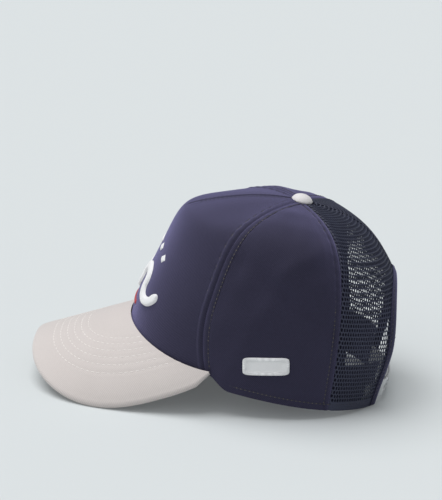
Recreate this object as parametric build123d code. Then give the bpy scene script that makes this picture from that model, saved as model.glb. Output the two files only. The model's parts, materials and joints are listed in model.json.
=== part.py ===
from build123d import *
import math
import os

# Five-panel trucker cap, millimetres. Cap axes while it is built: +Y towards the back of the head,
# +X to the wearer's left, +Z along the crown's axis from the bottom edge's plane to the button.
# At the end the cap is tipped back onto its visor's edges and set down on the floor, +Z up.

# Crown: its bottom edge in plan, and its height
CROWN_FRONT = 102.0        # from the button's axis to the front
CROWN_BACK = 94.5          # from the button's axis to the back
CROWN_SIDE = 79.8          # from the button's axis to either side
CROWN_SQUARENESS = 2.15    # exponent of the plan curve, where 2 is an ellipse
CROWN_HEIGHT = 127.4       # bottom edge to where the panels meet under the button

# Profiles from bottom edge to button: share of the plan radius, share of the height
FRONT_PROFILE = [(1.0, 0.0), (1.02, 0.21), (0.925, 0.47), (0.875, 0.69), (0.825, 0.805),
                 (0.73, 0.85), (0.45, 0.948), (0.18, 1.0), (0.0, 1.0)]
SIDE_PROFILE = [(1.0, 0.0), (1.0, 0.21), (0.985, 0.44), (0.94, 0.65), (0.84, 0.83),
                (0.66, 0.945), (0.4, 0.993), (0.15, 1.0), (0.0, 1.0)]
BACK_PROFILE = [(1.0, 0.0), (1.01, 0.21), (0.99, 0.44), (0.875, 0.65), (0.765, 0.785),
                (0.61, 0.90), (0.4, 0.985), (0.15, 1.0), (0.0, 1.0)]
FRONT_FADE = (22.0, 80.0)  # angles over which the front profile gives way to the side profile
BACK_FADE = (95.0, 165.0)  # angles over which the side profile gives way to the back profile

# Seams, as angles round the button's axis from the front
FRONT_SEAM_TOP = 54.0
FRONT_SEAM_FOOT = 64.0
FRONT_SEAM_BEND = 60.0     # height up to which the front seam leans
BACK_SEAM_TOP = 119.0
BACK_SEAM_FOOT = 127.0
SEAM_GAP = 0.15

# Layers
TWILL = 0.8
MESH = 1.0
BUCKRAM = 0.7
TAPE = 0.5
TAPE_WIDTH = 16.0
DART_TAPE_WIDTH = 9.0
DART_FOOT = 107.5          # height at which the top dart starts
LEATHER = 1.5
BAND_HEIGHT = 34.0
LAYER_GAP = 0.06

# Rear arch opening
ARCH_WIDTH = 74.0
ARCH_HEIGHT = 88.0
BINDING_REACH = 5.0
BINDING = 0.8
HEM_LIFT = 1.0             # of inner and bound edges above the bottom edge

# Visor
VISOR_REACH = 66.0         # how far it stands out at the front
VISOR_WRAP = 63.8          # angle its arch turns through, from its middle to its widest place
VISOR_SLOPE = 29.9         # fall of its middle, from the bottom edge's plane
VISOR_RISE = 14.3          # height of its middle where it meets the crown
VISOR_SQUARENESS = 2.55
VISOR_SHOULDER = 32.0      # from its tips forward to its widest place
VISOR_JOINT = 1.5          # from the crown's bottom edge out to the visor's inner edge
VISOR_TIP = 3.6            # width left at its tips
BOARD = 2.0
BOARD_INSET = 1.5
COVER = 0.7

# Button
BUTTON_DIAMETER = 15.5
BUTTON_HEIGHT = 5.0
BUTTON_SHELL = 0.6
BUTTON_CLOTH = 0.6
STUD_DIAMETER = 3.0
APEX_HOLE = 4.0

# Snap closure
STRAP_WIDTH = 14.0
STRAP = 1.0
STRAP_LIFT = 3.5           # above the crown's bottom edge
STRAP_SPACE = 0.35         # between the two straps where they lie on each other
STRAP_STAND = 0.3          # how far the outer strap stands out of the crown's line
STRAP_RAMP = 12.0          # length over which a strap leaves the crown's inside
TAB_LENGTH = 14.0
HINGE_GAP = 0.8
SNAP_PITCH = 8.0
SNAP_MARGIN = 4.0          # from a strap's end to its first hole or peg
SNAP_COUNT = 6
SNAPS_DONE_UP = 5
PEG_DIAMETER = 3.8
PEG_HEIGHT = 1.9
PEG_CLEARANCE = 0.8

# Raised decoration
PUFF = 2.2
PATCH_LENGTH = 33.0
PATCH_WIDTH = 13.0
PATCH = 0.9
PATCH_ANGLE = 91.0
PATCH_HEIGHT = 26.0
PATCH_TILT = 13.5          # rise towards the back
WAVE_RADIUS = 10.0
WAVE_WIDTH = 7.0
WAVE_HEIGHT = 45.0
MARK_SIZE = 7.0
MARK_COUNT = 5
MARK_SPACING = 13.0
MARK_HEIGHT = 74.0
MARK_DROP = 6.0            # of the outermost marks below the middle one
BAR_LENGTH = 30.0
BAR_WIDTH = 3.5
BAR_HEIGHT = 26.0



def smooth(value, low, high):
    share = min(max((value - low) / (high - low), 0.0), 1.0)
    return share ** 3 * (10 - 15 * share + 6 * share * share)


def outline_radius(angle):
    """Plan radius of the crown's bottom edge, angle in degrees from the front."""
    ahead = math.cos(math.radians(angle))
    aside = math.sin(math.radians(angle))
    length = CROWN_FRONT if ahead > 0 else CROWN_BACK
    power = CROWN_SQUARENESS
    return ((abs(ahead) / length) ** power + (abs(aside) / CROWN_SIDE) ** power) ** (-1 / power)


def spline_weights(share, count):
    """Cubic B-spline weights with clamped ends."""
    spans = count - 3
    knots = [0.0] * 3 + [i / spans for i in range(spans + 1)] + [1.0] * 3
    share = min(share, 1.0 - 1e-9)
    weights = [1.0 if knots[i] <= share < knots[i + 1] else 0.0 for i in range(len(knots) - 1)]
    for degree in (1, 2, 3):
        raised = []
        for i in range(len(knots) - 1 - degree):
            left = knots[i + degree] - knots[i]
            right = knots[i + degree + 1] - knots[i + 1]
            value = 0.0
            if left > 0:
                value += (share - knots[i]) / left * weights[i]
            if right > 0:
                value += (knots[i + degree + 1] - share) / right * weights[i + 1]
            raised.append(value)
        weights = raised
    return weights


def meridian(angle, share):
    """Radius and height on the outside of the crown."""
    turn = abs(angle)
    if turn > 180:
        turn = 360 - turn
    front = 1 - smooth(turn, *FRONT_FADE)
    back = smooth(turn, *BACK_FADE)
    side = 1 - front - back
    radius = 0.0
    height = 0.0
    weights = spline_weights(share, len(FRONT_PROFILE))
    for weight, ahead, aside, behind in zip(weights, FRONT_PROFILE, SIDE_PROFILE, BACK_PROFILE):
        radius += weight * (front * ahead[0] + side * aside[0] + back * behind[0])
        height += weight * (front * ahead[1] + side * aside[1] + back * behind[1])
    return radius * outline_radius(turn), height * CROWN_HEIGHT


def share_at(angle, target, what):
    """Share of the way up a meridian where its height (1) or radius (0) reaches the target."""
    low = 0.0
    high = 1.0
    for _ in range(30):
        middle = (low + high) / 2
        value = meridian(angle, middle)[what]
        below = value < target if what == 1 else value > target
        if below:
            low = middle
        else:
            high = middle
    return (low + high) / 2


def surface_point(angle, share, depth=0.0):
    """Point at a depth under the crown's outside, in cap axes."""
    def place(turn, along):
        radius, height = meridian(turn, along)
        aside = math.radians(turn)
        return Vector(radius * math.sin(aside), -radius * math.cos(aside), height)
    here = place(angle, share)
    if depth == 0:
        return here
    step = 0.004
    up = place(angle, min(share + step, 0.999)) - place(angle, max(share - step, 0.0))
    across = place(angle + 0.5, share) - place(angle - 0.5, share)
    outward = across.cross(up).normalized()
    return here - outward * depth


# Visor's outline in plan: a squared arc about a middle, with its tips behind the middle
tip_angle = FRONT_SEAM_FOOT
tip_radius = outline_radius(tip_angle) + VISOR_TIP
visor_middle = -tip_radius * math.cos(math.radians(tip_angle)) - VISOR_SHOULDER
visor_length = CROWN_FRONT + VISOR_REACH + visor_middle
tip_behind = -VISOR_SHOULDER / visor_length
tip_aside = (1 - abs(tip_behind) ** VISOR_SQUARENESS) ** (1 / VISOR_SQUARENESS)
half_width = tip_radius * math.sin(math.radians(tip_angle)) / tip_aside
visor_radius = half_width / math.sin(math.radians(VISOR_WRAP))
visor_half = BOARD / 2 + LAYER_GAP + COVER


def visor_height(x, y):
    """Height of the visor's middle layer over a place in plan."""
    fall = math.tan(math.radians(VISOR_SLOPE)) * (-CROWN_FRONT - y)
    arch = visor_radius - math.sqrt(visor_radius ** 2 - x * x)
    return VISOR_RISE - fall - arch


def edge_height(angle):
    """Height of the crown's bottom edge: level with the visor's underside at the front."""
    turn = abs(angle)
    last = tip_angle + 12
    if turn >= last:
        return 0.0
    radius = outline_radius(turn)
    turned = math.radians(turn)
    on_visor = visor_height(radius * math.sin(turned), -radius * math.cos(turned))
    front = 1 - smooth(turn, tip_angle - 2, last)
    return max(front * (on_visor - visor_half), 0.0)


def front_seam(height):
    lean = max(1 - height / FRONT_SEAM_BEND, 0.0)
    return FRONT_SEAM_TOP + (FRONT_SEAM_FOOT - FRONT_SEAM_TOP) * lean * lean


def back_seam(height):
    return BACK_SEAM_FOOT + (BACK_SEAM_TOP - BACK_SEAM_FOOT) * height / CROWN_HEIGHT


def closed_shell(outer_rows, inner_rows):
    """Solid between two faces through rows of points, with ruled walls round the edge."""
    outer = Face.make_surface_from_array_of_points(outer_rows, tol=0.01)
    inner = Face.make_surface_from_array_of_points(inner_rows, tol=0.01)
    faces = [outer, inner]
    for edge in outer.edges():
        partner = min(inner.edges(), key=lambda other: (other.center() - edge.center()).length)
        faces.append(Face.make_surface_from_curves(edge, partner))
    solid = Solid(Shell(faces))
    return solid if solid.volume > 0 else Solid(Shell([-face for face in faces]))


def shell_between(start, end, foot, top, out, inner, across=17, along=25):
    """Closed shell of the crown between two seams.

    start and end give the angle at a height; foot and top give the share at an angle; out and inner
    are its depths under the crown's outside.
    """
    rows = ([], [])
    for j in range(along):
        for side in rows:
            side.append([])
        for i in range(across):
            share_across = i / (across - 1)
            guess = start(0) + (end(0) - start(0)) * share_across
            share = foot(guess) + (top(guess) - foot(guess)) * j / (along - 1)
            height = meridian(guess, share)[1]
            angle = start(height) + (end(height) - start(height)) * share_across
            for depth, side in zip((out, inner), rows):
                side[-1].append(surface_point(angle, share, depth))
    return closed_shell(*rows)


def foot_of(angle):
    return share_at(angle, edge_height(angle), 1) if edge_height(angle) > 0 else 0.0


def top_of(angle):
    return share_at(angle, APEX_HOLE, 0)


def shifted(seam, offset):
    """A seam's curve moved sideways by a length, measured round the crown."""
    def moved(height):
        angle = seam(height)
        radius = max(meridian(angle, share_at(angle, min(height, CROWN_HEIGHT * 0.97), 1))[0], 12.0)
        return angle + math.degrees(offset / radius)
    return moved


def fixed(angle):
    return lambda height: angle


def mirrored(seam):
    return lambda height: -seam(height)


def solid_of(shape):
    """The largest solid of a shape, as one solid."""
    return max(shape.solids(), key=lambda solid: solid.volume)


def prism(sketch, near, far):
    """A sketch in X and Z carried along Y from near to far."""
    return extrude(Plane.XZ.offset(-near) * sketch, amount=near - far)


def arch_block(grow):
    """Block through the back of the crown, the shape of the rear opening grown by a length."""
    radius = ARCH_WIDTH / 2 + grow
    spring = ARCH_HEIGHT - ARCH_WIDTH / 2
    below = 20.0
    sketch = Pos(0, spring) * Circle(radius)
    sketch += Pos(0, (spring - below) / 2) * Rectangle(2 * radius, spring + below)
    return prism(sketch, CROWN_BACK / 4, CROWN_BACK * 1.5)


def angle_aside(aside):
    """Angle of the place on the bottom edge that is this far to the side, behind the button."""
    low = 90.0
    high = 180.0
    for _ in range(30):
        middle = (low + high) / 2
        if outline_radius(middle) * math.sin(math.radians(middle)) > aside:
            low = middle
        else:
            high = middle
    return (low + high) / 2


def lifted(lift):
    return lambda angle: share_at(angle, edge_height(angle) + lift, 1)


def short_of_button(radius):
    return lambda angle: share_at(angle, radius, 0)


def tape_along(seam, width, foot=None):
    """Tape inside the crown over a seam; the six tapes stop where they would run into each other."""
    meeting = 6 * TAPE_WIDTH / (2 * math.pi) + 1
    return shell_between(
        shifted(seam, -width / 2), shifted(seam, width / 2), foot or lifted(HEM_LIFT),
        short_of_button(meeting), tape_depth, tape_depth + TAPE, across=5, along=25,
    )


half_gap = SEAM_GAP / 2
buckram_depth = TWILL + LAYER_GAP
tape_depth = max(buckram_depth + BUCKRAM, MESH + BINDING + 2 * LAYER_GAP) + LAYER_GAP
tab_depth = tape_depth + TAPE + LAYER_GAP
band_depth = tab_depth + STRAP + LAYER_GAP
corner_angle = angle_aside(ARCH_WIDTH / 2)


def make_front_panel():
    edge = shifted(front_seam, -half_gap)
    return shell_between(mirrored(edge), edge, foot_of, top_of, 0.0, TWILL, across=33)


def make_front_stiffener():
    edge = shifted(front_seam, -TAPE_WIDTH / 4)
    return shell_between(
        mirrored(edge), edge, lifted(HEM_LIFT), short_of_button(3 * APEX_HOLE),
        buckram_depth, buckram_depth + BUCKRAM, across=33,
    )


def make_side_panel():
    start = shifted(front_seam, half_gap)
    end = shifted(back_seam, -half_gap)
    return shell_between(start, end, foot_of, top_of, 0.0, TWILL)


def make_mesh_panel():
    start = shifted(back_seam, half_gap)
    end = shifted(fixed(180), -half_gap)
    return solid_of(shell_between(start, end, foot_of, top_of, 0.0, MESH) - arch_block(0))


def make_back_tape():
    tape = tape_along(fixed(180), TAPE_WIDTH, foot=lambda angle: share_at(angle, ARCH_HEIGHT / 2, 1))
    return solid_of(tape - arch_block(BINDING_REACH + LAYER_GAP))


def make_dart_tape():
    return tape_along(fixed(0), DART_TAPE_WIDTH, foot=lambda angle: share_at(angle, DART_FOOT, 1))


def make_binding():
    """Tape folded round the mesh's edge, from one bottom corner over the arch to the other."""
    reach = math.degrees(2 * BINDING_REACH / CROWN_BACK)
    start = fixed(corner_angle - reach)
    end = fixed(360 - corner_angle + reach)
    top = short_of_button(CROWN_BACK / 4)
    sleeve = shell_between(start, end, lifted(HEM_LIFT), top, -BINDING - LAYER_GAP,
                           MESH + BINDING + LAYER_GAP, across=41)
    slot = shell_between(start, end, foot_of, top, -LAYER_GAP, MESH + LAYER_GAP, across=41)
    ring = arch_block(BINDING_REACH) - arch_block(-BINDING - LAYER_GAP)
    return solid_of((sleeve & ring) - (slot - arch_block(-LAYER_GAP)))


def make_sweatband():
    """Folded band inside the bottom edge, from one side of the rear opening round to the other."""
    def top(angle):
        return share_at(angle, edge_height(angle) + BAND_HEIGHT, 1)
    end = corner_angle - math.degrees(HINGE_GAP / CROWN_BACK)
    return shell_between(
        fixed(-end), fixed(end), lifted(HEM_LIFT), top, band_depth, band_depth + LEATHER,
        across=81, along=7,
    )


def visor_point(angle, share, rise, inset=0.0):
    """Place on a layer of the visor; share runs from the crown's wall to the outer edge."""
    turn = angle / tip_angle * math.atan2(tip_aside, tip_behind)
    ahead = math.cos(turn)
    across = math.sin(turn)
    power = VISOR_SQUARENESS
    radius = (abs(ahead) ** power + abs(across) ** power) ** (-1 / power)
    outer_x = (half_width - inset) * radius * across
    outer_y = visor_middle - (visor_length - inset) * radius * ahead
    root = outline_radius(angle) + VISOR_JOINT
    inner_x = root * math.sin(math.radians(angle))
    inner_y = -root * math.cos(math.radians(angle))
    x = inner_x + (outer_x - inner_x) * share
    y = inner_y + (outer_y - inner_y) * share
    slope = math.tan(math.radians(VISOR_SLOPE))
    across_slope = -x / math.sqrt(visor_radius ** 2 - x * x)
    normal = Vector(-across_slope, -slope, 1).normalized()
    return Vector(x, y, visor_height(x, y)) + normal * rise


def visor_layer(low, high, inset):
    limit = tip_angle - inset

    def rows(rise):
        return [[visor_point(-limit + 2 * limit * i / 48, j / 12, rise, inset) for i in range(49)]
                for j in range(13)]
    return closed_shell(rows(high), rows(low))


def make_visor_board():
    return visor_layer(-BOARD / 2, BOARD / 2, BOARD_INSET)


def make_visor_top_cover():
    return visor_layer(BOARD / 2 + LAYER_GAP, BOARD / 2 + LAYER_GAP + COVER, 0.0)


def make_visor_under_cover():
    return visor_layer(-BOARD / 2 - LAYER_GAP - COVER, -BOARD / 2 - LAYER_GAP, 0.0)


def dome(diameter, height, base):
    """Solid spherical cap standing on a height."""
    radius = (diameter ** 2 / 4 + height ** 2) / (2 * height)
    ball = Pos(0, 0, base + height - radius) * Sphere(radius)
    above = Pos(0, 0, base + height / 2) * Box(2 * diameter, 2 * diameter, height)
    return ball & above


button_base = CROWN_HEIGHT + LAYER_GAP


def make_button_cover():
    inner = dome(BUTTON_DIAMETER - 2 * BUTTON_CLOTH, BUTTON_HEIGHT - BUTTON_CLOTH, button_base)
    return solid_of(dome(BUTTON_DIAMETER, BUTTON_HEIGHT, button_base) - inner)


def make_button_shell():
    wall = BUTTON_CLOTH + LAYER_GAP
    outer = dome(BUTTON_DIAMETER - 2 * wall, BUTTON_HEIGHT - wall, button_base)
    wall += BUTTON_SHELL
    inner = dome(BUTTON_DIAMETER - 2 * wall, BUTTON_HEIGHT - wall, button_base)
    return solid_of(outer - inner)


def make_button_stud():
    """Stud through the crown from the shell's crown to a washer under the tapes."""
    washer = 0.8
    top = button_base + BUTTON_HEIGHT - BUTTON_CLOTH - BUTTON_SHELL - 6 * LAYER_GAP
    foot = CROWN_HEIGHT - tape_depth - TAPE - LAYER_GAP - washer
    shaft = Pos(0, 0, (top + foot) / 2) * Cylinder(STUD_DIAMETER / 2, top - foot)
    plate = Pos(0, 0, foot + washer / 2) * Cylinder(APEX_HOLE * 1.5, washer)
    return solid_of(shaft + plate)


hinge_angle = corner_angle + math.degrees((BINDING + LAYER_GAP + HINGE_GAP) / CROWN_BACK)
outer_depth = -STRAP_STAND
inner_depth = outer_depth + STRAP + STRAP_SPACE
overlap = 2 * SNAP_MARGIN + (SNAPS_DONE_UP - 1) * SNAP_PITCH


def angle_back(length):
    """Angle at a length round the back from its middle."""
    return 180 + math.degrees(length / CROWN_BACK)


def wall_radius(angle, height):
    return meridian(angle, share_at(angle, height, 1))[0]


def strap_band(start, end, depth_at):
    """Band round the back between two angles, its outer face at a depth given at each angle."""
    def place(angle, height, depth):
        radius = wall_radius(angle, height) - depth
        turn = math.radians(angle)
        return Vector(radius * math.sin(turn), -radius * math.cos(turn), height)

    def rows(depth):
        heights = (STRAP_LIFT, STRAP_LIFT + STRAP_WIDTH / 2, STRAP_LIFT + STRAP_WIDTH)
        angles = [start + (end - start) * i / 40 for i in range(41)]
        return [[place(angle, height, depth_at(angle) + depth) for angle in angles] for height in heights]
    return closed_shell(rows(0), rows(STRAP))


def snap_places(end_length, step):
    return [angle_back(end_length + step * (SNAP_MARGIN + SNAP_PITCH * i)) for i in range(SNAP_COUNT)]


def snap_pin(angle, diameter, depth_from, depth_to):
    """Round pin across the straps at an angle, between two depths."""
    turn = math.radians(angle)
    outward = Vector(math.sin(turn), -math.cos(turn), 0)
    height = STRAP_LIFT + STRAP_WIDTH / 2
    radius = wall_radius(angle, height)
    seat = Plane(outward * (radius - depth_from) + Vector(0, 0, height), z_dir=outward)
    return extrude(seat * Circle(diameter / 2), amount=depth_from - depth_to)


def make_strap_outer():
    """Free length with the holes, from the left corner of the rear opening."""
    ramp = math.degrees(STRAP_RAMP / CROWN_BACK)

    def depth_at(angle):
        return tab_depth + (outer_depth - tab_depth) * smooth(angle, hinge_angle, hinge_angle + ramp)
    strap = strap_band(hinge_angle, angle_back(overlap / 2), depth_at)
    for angle in snap_places(overlap / 2, -1):
        strap -= snap_pin(angle, PEG_DIAMETER + 2 * PEG_CLEARANCE, tab_depth + 3 * STRAP,
                          outer_depth - 2 * STRAP)
    return solid_of(strap)


def make_strap_inner():
    """Free length with the pegs, from the right corner of the rear opening."""
    ramp = math.degrees(STRAP_RAMP / CROWN_BACK)
    root = 360 - hinge_angle

    def depth_at(angle):
        return tab_depth + (inner_depth - tab_depth) * smooth(-angle, -root, -root + ramp)
    strap = strap_band(angle_back(-overlap / 2), root, depth_at)
    for angle in snap_places(-overlap / 2, 1):
        strap += snap_pin(angle, PEG_DIAMETER, depth_at(angle) + STRAP / 2, inner_depth - PEG_HEIGHT)
    return solid_of(strap)


def make_strap_tab():
    """End of a strap, sewn in between the crown and the sweatband on the left."""
    end = hinge_angle - math.degrees(HINGE_GAP / CROWN_BACK)
    start = end - math.degrees(TAB_LENGTH / CROWN_BACK)
    return strap_band(start, end, lambda angle: tab_depth)


def on_front(sketch, thickness):
    """Raised work on the front panel, its outline given in X and Z."""
    limit = FRONT_SEAM_TOP - 6
    ground = shell_between(
        fixed(-limit), fixed(limit), lifted(HEM_LIFT), lambda angle: share_at(angle, DART_FOOT, 1),
        -thickness - LAYER_GAP, -LAYER_GAP, across=33,
    )
    return ground & prism(sketch, -CROWN_FRONT * 1.2, -CROWN_FRONT / 3)


def make_front_wave():
    """Band of equal half circles, alternately up and down."""
    shape = None
    for i in range(4):
        centre = (i - 1.5) * 2 * WAVE_RADIUS
        ring = Circle(WAVE_RADIUS + WAVE_WIDTH / 2) - Circle(WAVE_RADIUS - WAVE_WIDTH / 2)
        keep = Pos(0, (1 if i % 2 == 0 else -1) * WAVE_RADIUS) * Rectangle(4 * WAVE_RADIUS, 2 * WAVE_RADIUS)
        piece = Pos(centre, WAVE_HEIGHT) * (ring & keep)
        shape = piece if shape is None else shape + piece
    return solid_of(on_front(shape, PUFF))


def make_front_marks():
    """Small squares on their corners, in a shallow arc."""
    marks = []
    for i in range(MARK_COUNT):
        step = i - (MARK_COUNT - 1) / 2
        drop = MARK_DROP * (step / ((MARK_COUNT - 1) / 2)) ** 2
        square = Rot(0, 0, 45) * Rectangle(MARK_SIZE / math.sqrt(2), MARK_SIZE / math.sqrt(2))
        marks.append(solid_of(on_front(Pos(step * MARK_SPACING, MARK_HEIGHT - drop) * square, PATCH)))
    return marks


def make_front_bar():
    return solid_of(on_front(Pos(0, BAR_HEIGHT) * Rectangle(BAR_LENGTH, BAR_WIDTH), PATCH))


def make_side_patch():
    reach = math.degrees(PATCH_LENGTH / CROWN_SIDE)
    ground = shell_between(
        fixed(PATCH_ANGLE - reach), fixed(PATCH_ANGLE + reach), foot_of,
        lambda angle: share_at(angle, PATCH_HEIGHT + 1.5 * PATCH_WIDTH, 1), -PATCH - LAYER_GAP, -LAYER_GAP,
    )
    plane = Plane(Vector(0, 0, PATCH_HEIGHT), x_dir=(0, 1, 0), z_dir=(1, 0, 0))
    shape = plane * Rot(0, 0, PATCH_TILT) * RectangleRounded(PATCH_LENGTH, PATCH_WIDTH, PATCH_WIDTH / 6)
    return solid_of(ground & extrude(shape, amount=CROWN_SIDE * 1.5))


def make_parts():
    tapes = {"front": tape_along(front_seam, TAPE_WIDTH), "back": tape_along(back_seam, TAPE_WIDTH)}
    pairs = {
        "side_panel": make_side_panel(),
        "mesh_panel": make_mesh_panel(),
        "seam_tape_front": tapes["front"],
        "seam_tape_back": tapes["back"],
    }
    made = {
        "front_panel": make_front_panel(),
        "front_stiffener": make_front_stiffener(),
        "seam_tape_centre_back": make_back_tape(),
        "seam_tape_top_dart": make_dart_tape(),
        "arch_binding": make_binding(),
        "sweatband": make_sweatband(),
        "visor_board": make_visor_board(),
        "visor_top_cover": make_visor_top_cover(),
        "visor_under_cover": make_visor_under_cover(),
        "button_cover": make_button_cover(),
        "button_shell": make_button_shell(),
        "button_stud": make_button_stud(),
        "snap_strap_outer": make_strap_outer(),
        "snap_strap_inner": make_strap_inner(),
        "front_emblem_wave": make_front_wave(),
        "front_emblem_bar": make_front_bar(),
        "side_patch": make_side_patch(),
    }
    for name, solid in pairs.items():
        made[f"{name}_left"] = solid
        made[f"{name}_right"] = solid.mirror(Plane.YZ)
    tab = make_strap_tab()
    made["snap_tab_outer"] = tab
    made["snap_tab_inner"] = tab.mirror(Plane.YZ)
    for number, mark in enumerate(make_front_marks(), start=1):
        made[f"front_emblem_mark_{number}"] = mark
    return made


def rest_pitch():
    """Angle by which the cap tips back so that the visor's edges and the crown's back both rest."""
    turn = math.radians(corner_angle)
    back = -outline_radius(corner_angle) * math.cos(turn)
    angles = []
    for i in range(91):
        edge = visor_point(tip_angle * i / 90, 1.0, -BOARD / 2 - LAYER_GAP - COVER)
        angles.append(math.atan2(-edge.Z, back - edge.Y))
    return math.degrees(max(angles))


if __name__ == "__main__":
    tipped = {name: Rot(-rest_pitch(), 0, 0) * solid for name, solid in make_parts().items()}
    box = Compound(list(tipped.values())).bounding_box()
    to_floor = Pos(-box.center().X, -box.center().Y, -box.min.Z)
    os.makedirs("parts", exist_ok=True)
    for name, solid in tipped.items():
        export_step(to_floor * solid, f"parts/{name}.step")
    turn = math.radians(hinge_angle)
    reach = wall_radius(hinge_angle, STRAP_LIFT + STRAP_WIDTH / 2) - tab_depth - STRAP / 2
    for side in (1, -1):
        foot = Vector(side * reach * math.sin(turn), -reach * math.cos(turn), STRAP_LIFT + STRAP_WIDTH / 2)
        placed = to_floor * Rot(-rest_pitch(), 0, 0) * Pos(foot)
        print("hinge at", placed.position)
    print("pitch", rest_pitch(), "size", box.size)
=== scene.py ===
"""A five-panel trucker cap: navy twill front and sides, mesh back, stone visor, snap closure."""

import json
import math

import bpy
from mathutils import Matrix, Vector, noise


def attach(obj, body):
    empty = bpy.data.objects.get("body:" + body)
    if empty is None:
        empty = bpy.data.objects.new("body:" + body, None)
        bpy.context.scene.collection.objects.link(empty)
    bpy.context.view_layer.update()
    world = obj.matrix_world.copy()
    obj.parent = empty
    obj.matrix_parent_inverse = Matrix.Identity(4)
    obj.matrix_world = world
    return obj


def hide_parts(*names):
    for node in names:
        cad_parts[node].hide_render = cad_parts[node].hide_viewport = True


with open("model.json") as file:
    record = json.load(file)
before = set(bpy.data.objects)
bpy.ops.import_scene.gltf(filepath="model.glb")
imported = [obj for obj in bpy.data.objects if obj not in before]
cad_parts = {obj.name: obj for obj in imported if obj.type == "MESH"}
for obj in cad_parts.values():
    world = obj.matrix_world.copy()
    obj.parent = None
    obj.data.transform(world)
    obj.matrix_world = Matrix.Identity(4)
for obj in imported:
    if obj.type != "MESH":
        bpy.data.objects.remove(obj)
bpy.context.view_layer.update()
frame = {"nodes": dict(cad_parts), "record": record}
bpy.ops.object.select_all(action="DESELECT")

# ---- Floor, lights and camera ------------------------------------------------------------------
# A pale seamless floor under a broad soft light from above the visor, with a little fill, and a
# long lens looking at the wearer's left side from a little above.
MM = 0.001
PALE = (0.716, 0.752, 0.760, 1.0)

bpy.context.scene.view_settings.view_transform = "Standard"
world = bpy.data.worlds.new("soft_room")
bpy.context.scene.world = world
world.use_nodes = True
sky = world.node_tree.nodes["Background"].inputs
sky["Color"].default_value = (0.93, 0.965, 1.0, 1.0)
sky["Strength"].default_value = 0.32

bpy.ops.mesh.primitive_plane_add(size=12.0, location=(0, 0, 0))
floor = bpy.context.object
floor.name = "floor"
floor_finish = bpy.data.materials.new("pale_floor")
floor_finish.use_nodes = True
for slot, value in {"Base Color": [0.74 * channel for channel in PALE[:3]] + [1.0],
                    "Emission Color": PALE, "Emission Strength": 0.10, "Roughness": 0.9,
                    "Specular IOR Level": 0.0}.items():
    floor_finish.node_tree.nodes["Principled BSDF"].inputs[slot].default_value = value
floor.data.materials.append(floor_finish)


def soft_sun(name, towards, strength, spread):
    """Broad light falling along a direction."""
    bpy.ops.object.light_add(type="SUN", location=(0, 0, 1.5))
    lamp = bpy.context.object
    lamp.name = name
    lamp.data.energy = strength
    lamp.data.angle = math.radians(spread)
    lamp.rotation_euler = Vector(towards).to_track_quat("-Z", "Y").to_euler()


soft_sun("overhead", (0.1, 0.30, -1.0), 2.7, 50)
soft_sun("fill", (-0.8, 0.75, -0.5), 0.8, 80)

CAMERA_TARGET = Vector((0.0, 0.0023, 0.0988))
CAMERA_DISTANCE = 1.367
CAMERA_HEIGHT = math.radians(18.19)
CAMERA_BACK = math.radians(2.13)
CAMERA_ROLL = math.radians(3.07)
VIEW_WIDTH = 0.3255
sight = Vector((math.cos(CAMERA_HEIGHT) * math.cos(CAMERA_BACK),
                math.cos(CAMERA_HEIGHT) * math.sin(CAMERA_BACK), math.sin(CAMERA_HEIGHT)))
bpy.ops.object.camera_add(location=CAMERA_TARGET + sight * CAMERA_DISTANCE)
camera = bpy.context.object
camera.rotation_mode = "QUATERNION"
camera.rotation_quaternion = (sight.to_track_quat("Z", "Y").to_matrix()
                              @ Matrix.Rotation(CAMERA_ROLL, 3, "Z")).to_quaternion()
camera.data.sensor_fit = "HORIZONTAL"
camera.data.lens = camera.data.sensor_width * CAMERA_DISTANCE / VIEW_WIDTH
camera.data.clip_start = 0.01
bpy.context.scene.camera = camera

# ---- Crown: front and side panels --------------------------------------------------------------
# The one-piece front panel and the two side panels are cotton twill. They follow the crown's wall,
# sink into the seams between them, and stand a little proud beside each seam.
CROWN_FRONT = 102.0
CROWN_BACK = 94.5
CROWN_SIDE = 79.8
CROWN_SQUARENESS = 2.15
CROWN_HEIGHT = 127.4
FRONT_PROFILE = [(1.0, 0.0), (1.02, 0.21), (0.925, 0.47), (0.875, 0.69), (0.825, 0.805),
                 (0.73, 0.85), (0.45, 0.948), (0.18, 1.0), (0.0, 1.0)]
SIDE_PROFILE = [(1.0, 0.0), (1.0, 0.21), (0.985, 0.44), (0.94, 0.65), (0.84, 0.83),
                (0.66, 0.945), (0.4, 0.993), (0.15, 1.0), (0.0, 1.0)]
BACK_PROFILE = [(1.0, 0.0), (1.01, 0.21), (0.99, 0.44), (0.875, 0.65), (0.765, 0.785),
                (0.61, 0.90), (0.4, 0.985), (0.15, 1.0), (0.0, 1.0)]
FRONT_FADE = (22.0, 80.0)
BACK_FADE = (95.0, 165.0)
FRONT_SEAM_TOP = 54.0
FRONT_SEAM_FOOT = 64.0
FRONT_SEAM_BEND = 60.0
BACK_SEAM_TOP = 119.0
BACK_SEAM_FOOT = 127.0
TWILL = 0.8

opening = frame["record"]["mounts"][0]
cap_foot = Vector(opening["pos_m"])
tilt = math.atan2(-opening["axis"][1], -opening["axis"][2])
cap_frame = Matrix.Translation(cap_foot) @ Matrix.Rotation(-tilt, 4, "X") @ Matrix.Scale(MM, 4)


def smooth(value, low, high):
    share = min(max((value - low) / (high - low), 0.0), 1.0)
    return share ** 3 * (10 - 15 * share + 6 * share * share)


def outline_radius(turn):
    """Plan radius of the crown's bottom edge, in mm, at an angle from the front."""
    ahead = math.cos(math.radians(turn))
    aside = math.sin(math.radians(turn))
    length = CROWN_FRONT if ahead > 0 else CROWN_BACK
    power = CROWN_SQUARENESS
    return ((abs(ahead) / length) ** power + (abs(aside) / CROWN_SIDE) ** power) ** (-1 / power)


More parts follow.
